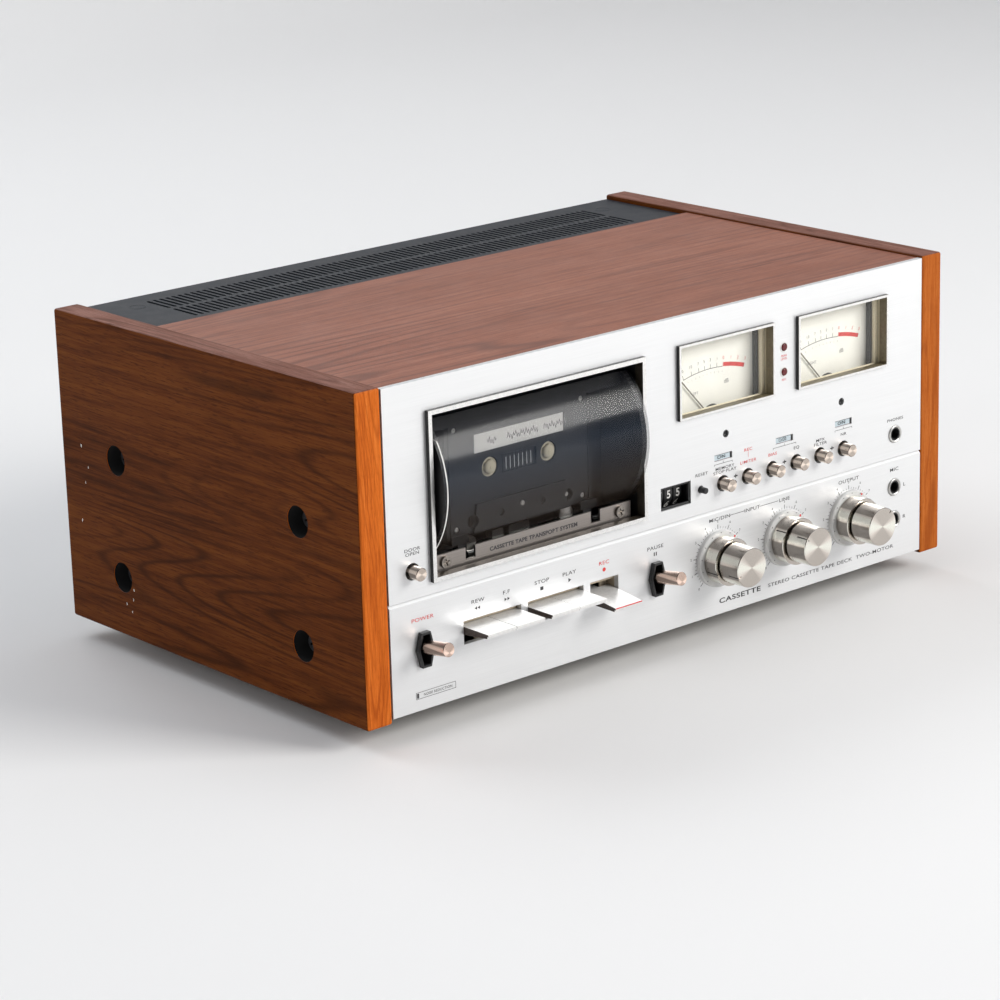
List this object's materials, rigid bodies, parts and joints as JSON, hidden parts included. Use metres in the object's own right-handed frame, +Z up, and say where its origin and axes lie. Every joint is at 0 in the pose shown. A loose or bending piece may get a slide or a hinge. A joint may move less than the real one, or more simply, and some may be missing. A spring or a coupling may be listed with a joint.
{
  "type": "cassette deck",
  "caption": "Front-loading stereo cassette deck in a wood-sided case, with tape bay, level meters, counter, piano keys, levers, push buttons and dual level knobs.",
  "frame": {"origin": "on the surface under the feet, below the middle of the whole box", "axes": "+X to the right seen from the front, +Y to the rear, +Z up"},
  "size_m": [0.45, 0.315, 0.198],
  "materials": {
    "walnut": "satin",
    "top_wood": "satin",
    "dark_sheet": "matte",
    "brushed_panel": "brushed",
    "steel": "plated",
    "rubber": "matte",
    "screw_steel": "satin",
    "bezel": "satin",
    "black_plastic": "matte",
    "meter_case": "matte",
    "clear": "clear",
    "smoked": "smoked",
    "lamp_red": "gloss",
    "board": "matte",
    "cassette_grey": "satin",
    "cream": "satin",
    "knob": "machined",
    "key": "satin"
  },
  "bodies": {
    "case": {"side_panels": "walnut", "top_board": "top_wood", "rear_top_cover": "dark_sheet", "upper_front_panel": "brushed_panel", "lower_front_panel": "brushed_panel", "base_chassis": "steel", "rear_panel": "dark_sheet", "feet": "rubber", "case_screws": "screw_steel", "window_bezels": "bezel", "cassette_bay": "black_plastic", "bay_nameplate": "brushed_panel", "pivot_rods": "screw_steel", "meter_bodies": "meter_case", "meter_windows": "clear", "indicator_lamps": "lamp_red", "counter_housing": "black_plastic", "lever_escutcheons": "black_plastic", "front_jacks": "black_plastic", "knob_collars": "clear", "level_controls": "screw_steel", "power_transformer": "steel", "transport_motors": "steel", "circuit_board": "board", "rear_sockets": "bezel"},
    "door": {"door_carrier": "black_plastic", "door_window": "smoked", "cassette_shell": "cassette_grey"},
    "supply_hub": {"supply_hub": "cream"},
    "takeup_hub": {"takeup_hub": "cream"},
    "supply_spindle": {"supply_spindle": "black_plastic"},
    "takeup_spindle": {"takeup_spindle": "black_plastic"},
    "capstan": {"capstan_flywheel": "screw_steel"},
    "head_block": {"head_block": "bezel"},
    "counter_ones": {"counter_wheel_ones": "black_plastic"},
    "counter_tens": {"counter_wheel_tens": "black_plastic"},
    "counter_hundreds": {"counter_wheel_hundreds": "black_plastic"},
    "left_needle": {"left_meter_needle": "cream"},
    "right_needle": {"right_meter_needle": "cream"},
    "memory_button": {"memory_button": "knob"},
    "limiter_button": {"limiter_button": "knob"},
    "bias_button": {"bias_button": "knob"},
    "equalizer_button": {"equalizer_button": "knob"},
    "filter_button": {"filter_button": "knob"},
    "noise_reduction_button": {"noise_reduction_button": "knob"},
    "door_open_button": {"door_open_button": "knob"},
    "counter_reset_button": {"counter_reset_button": "knob"},
    "power_lever": {"power_lever": "knob"},
    "pause_lever": {"pause_lever": "knob"},
    "rewind_key": {"rewind_key": "key"},
    "fast_forward_key": {"fast_forward_key": "key"},
    "stop_key": {"stop_key": "key"},
    "play_key": {"play_key": "key"},
    "record_key": {"record_key": "key"},
    "mic_rear_knob": {"mic_rear_knob": "knob"},
    "mic_front_knob": {"mic_front_knob": "knob"},
    "line_rear_knob": {"line_rear_knob": "knob"},
    "line_front_knob": {"line_front_knob": "knob"},
    "output_rear_knob": {"output_rear_knob": "knob"},
    "output_front_knob": {"output_front_knob": "knob"}
  },
  "joints": [
    {"name": "door_hinge", "type": "hinge", "parent": "case", "child": "door", "pos_m": [-0.1, -0.116, 0.089], "axis": [1, 0, 0], "range_deg": [0, 22]},
    {"name": "supply_hub_spin", "type": "hinge", "parent": "door", "child": "supply_hub", "pos_m": [-0.12125, -0.11, 0.1336], "axis": [0, 1, 0], "continuous": true},
    {"name": "takeup_hub_spin", "type": "hinge", "parent": "door", "child": "takeup_hub", "pos_m": [-0.07875, -0.11, 0.1336], "axis": [0, 1, 0], "continuous": true},
    {"name": "supply_spin", "type": "hinge", "parent": "case", "child": "supply_spindle", "pos_m": [-0.12125, -0.098, 0.1336], "axis": [0, 1, 0], "continuous": true},
    {"name": "takeup_spin", "type": "hinge", "parent": "case", "child": "takeup_spindle", "pos_m": [-0.07875, -0.098, 0.1336], "axis": [0, 1, 0], "continuous": true},
    {"name": "capstan_spin", "type": "hinge", "parent": "case", "child": "capstan", "pos_m": [-0.065, -0.087, 0.1058], "axis": [0, 1, 0], "continuous": true},
    {"name": "head_slide", "type": "slide", "parent": "case", "child": "head_block", "axis": [0, 0, 1], "range_m": [0, 0.005]},
    {"name": "counter_ones_spin", "type": "hinge", "parent": "case", "child": "counter_ones", "pos_m": [0.00975, -0.1135, 0.09335], "axis": [1, 0, 0], "continuous": true},
    {"name": "counter_tens_spin", "type": "hinge", "parent": "case", "child": "counter_tens", "pos_m": [0.00255, -0.1135, 0.09335], "axis": [1, 0, 0], "continuous": true},
    {"name": "counter_hundreds_spin", "type": "hinge", "parent": "case", "child": "counter_hundreds", "pos_m": [-0.00465, -0.1135, 0.09335], "axis": [1, 0, 0], "continuous": true},
    {"name": "left_meter_swing", "type": "hinge", "parent": "case", "child": "left_needle", "pos_m": [0.0426, -0.1195, 0.1284], "axis": [0, 1, 0], "range_deg": [0, 85], "stiffness_Nm_per_rad": 0.0001, "springref_deg": -17.19},
    {"name": "right_meter_swing", "type": "hinge", "parent": "case", "child": "right_needle", "pos_m": [0.1382, -0.1195, 0.1284], "axis": [0, 1, 0], "range_deg": [0, 85], "stiffness_Nm_per_rad": 0.0001, "springref_deg": -17.19},
    {"name": "memory_press", "type": "slide", "parent": "case", "child": "memory_button", "axis": [0, 1, 0], "range_m": [0, 0.0035], "stiffness_N_per_m": 600, "springref_m": -0.001},
    {"name": "limiter_press", "type": "slide", "parent": "case", "child": "limiter_button", "axis": [0, 1, 0], "range_m": [0, 0.0035], "stiffness_N_per_m": 600, "springref_m": -0.001},
    {"name": "bias_press", "type": "slide", "parent": "case", "child": "bias_button", "axis": [0, 1, 0], "range_m": [0, 0.0035], "stiffness_N_per_m": 600, "springref_m": -0.001},
    {"name": "equalizer_press", "type": "slide", "parent": "case", "child": "equalizer_button", "axis": [0, 1, 0], "range_m": [0, 0.0035], "stiffness_N_per_m": 600, "springref_m": -0.001},
    {"name": "filter_press", "type": "slide", "parent": "case", "child": "filter_button", "axis": [0, 1, 0], "range_m": [0, 0.0035], "stiffness_N_per_m": 600, "springref_m": -0.001},
    {"name": "noise_reduction_press", "type": "slide", "parent": "case", "child": "noise_reduction_button", "axis": [0, 1, 0], "range_m": [0, 0.0035], "stiffness_N_per_m": 600, "springref_m": -0.001},
    {"name": "door_open_press", "type": "slide", "parent": "case", "child": "door_open_button", "axis": [0, 1, 0], "range_m": [0, 0.0035], "stiffness_N_per_m": 600, "springref_m": -0.001},
    {"name": "counter_reset_press", "type": "slide", "parent": "case", "child": "counter_reset_button", "axis": [0, 1, 0], "range_m": [0, 0.0035], "stiffness_N_per_m": 600, "springref_m": -0.001},
    {"name": "power_lever_tilt", "type": "hinge", "parent": "case", "child": "power_lever", "pos_m": [-0.1853, -0.124, 0.0492], "axis": [1, 0, 0], "range_deg": [0, 19]},
    {"name": "pause_lever_tilt", "type": "hinge", "parent": "case", "child": "pause_lever", "pos_m": [-0.0142, -0.124, 0.0484], "axis": [1, 0, 0], "range_deg": [0, 19]},
    {"name": "rewind_key_press", "type": "hinge", "parent": "case", "child": "rewind_key", "pos_m": [-0.14645, -0.088, 0.05], "axis": [1, 0, 0], "range_deg": [0, 6], "stiffness_Nm_per_rad": 2, "springref_deg": -1.15},
    {"name": "fast_forward_key_press", "type": "hinge", "parent": "case", "child": "fast_forward_key", "pos_m": [-0.12585, -0.088, 0.05], "axis": [1, 0, 0], "range_deg": [0, 6], "stiffness_Nm_per_rad": 2, "springref_deg": -1.15},
    {"name": "stop_key_press", "type": "hinge", "parent": "case", "child": "stop_key", "pos_m": [-0.10015, -0.088, 0.05], "axis": [1, 0, 0], "range_deg": [0, 6], "stiffness_Nm_per_rad": 2, "springref_deg": -1.15},
    {"name": "play_key_press", "type": "hinge", "parent": "case", "child": "play_key", "pos_m": [-0.07975, -0.088, 0.05], "axis": [1, 0, 0], "range_deg": [0, 6], "stiffness_Nm_per_rad": 2, "springref_deg": -1.15},
    {"name": "record_key_press", "type": "hinge", "parent": "case", "child": "record_key", "pos_m": [-0.0536, -0.088, 0.05], "axis": [1, 0, 0], "range_deg": [-6.9, 0]},
    {"name": "mic_rear_turn", "type": "hinge", "parent": "case", "child": "mic_rear_knob", "pos_m": [0.0354, -0.138, 0.0492], "axis": [0, 1, 0], "range_deg": [-39, 261]},
    {"name": "mic_front_turn", "type": "hinge", "parent": "case", "child": "mic_front_knob", "pos_m": [0.0354, -0.15, 0.0492], "axis": [0, 1, 0], "range_deg": [-39, 261]},
    {"name": "line_rear_turn", "type": "hinge", "parent": "case", "child": "line_rear_knob", "pos_m": [0.09, -0.138, 0.0492], "axis": [0, 1, 0], "range_deg": [-95, 205]},
    {"name": "line_front_turn", "type": "hinge", "parent": "case", "child": "line_front_knob", "pos_m": [0.09, -0.15, 0.0492], "axis": [0, 1, 0], "range_deg": [-95, 205]},
    {"name": "output_rear_turn", "type": "hinge", "parent": "case", "child": "output_rear_knob", "pos_m": [0.1447, -0.138, 0.0492], "axis": [0, 1, 0], "range_deg": [-190, 110]},
    {"name": "output_front_turn", "type": "hinge", "parent": "case", "child": "output_front_knob", "pos_m": [0.1447, -0.15, 0.0492], "axis": [0, 1, 0], "range_deg": [-190, 110]}
  ],
  "couplings": [
    {"joint": "supply_hub_spin", "follows": "supply_spin", "ratio": 1},
    {"joint": "takeup_hub_spin", "follows": "takeup_spin", "ratio": 1},
    {"joint": "counter_ones_spin", "follows": "takeup_spin", "ratio": 0.5},
    {"joint": "counter_tens_spin", "follows": "takeup_spin", "ratio": 0.05},
    {"joint": "counter_hundreds_spin", "follows": "takeup_spin", "ratio": 0.005}
  ]
}
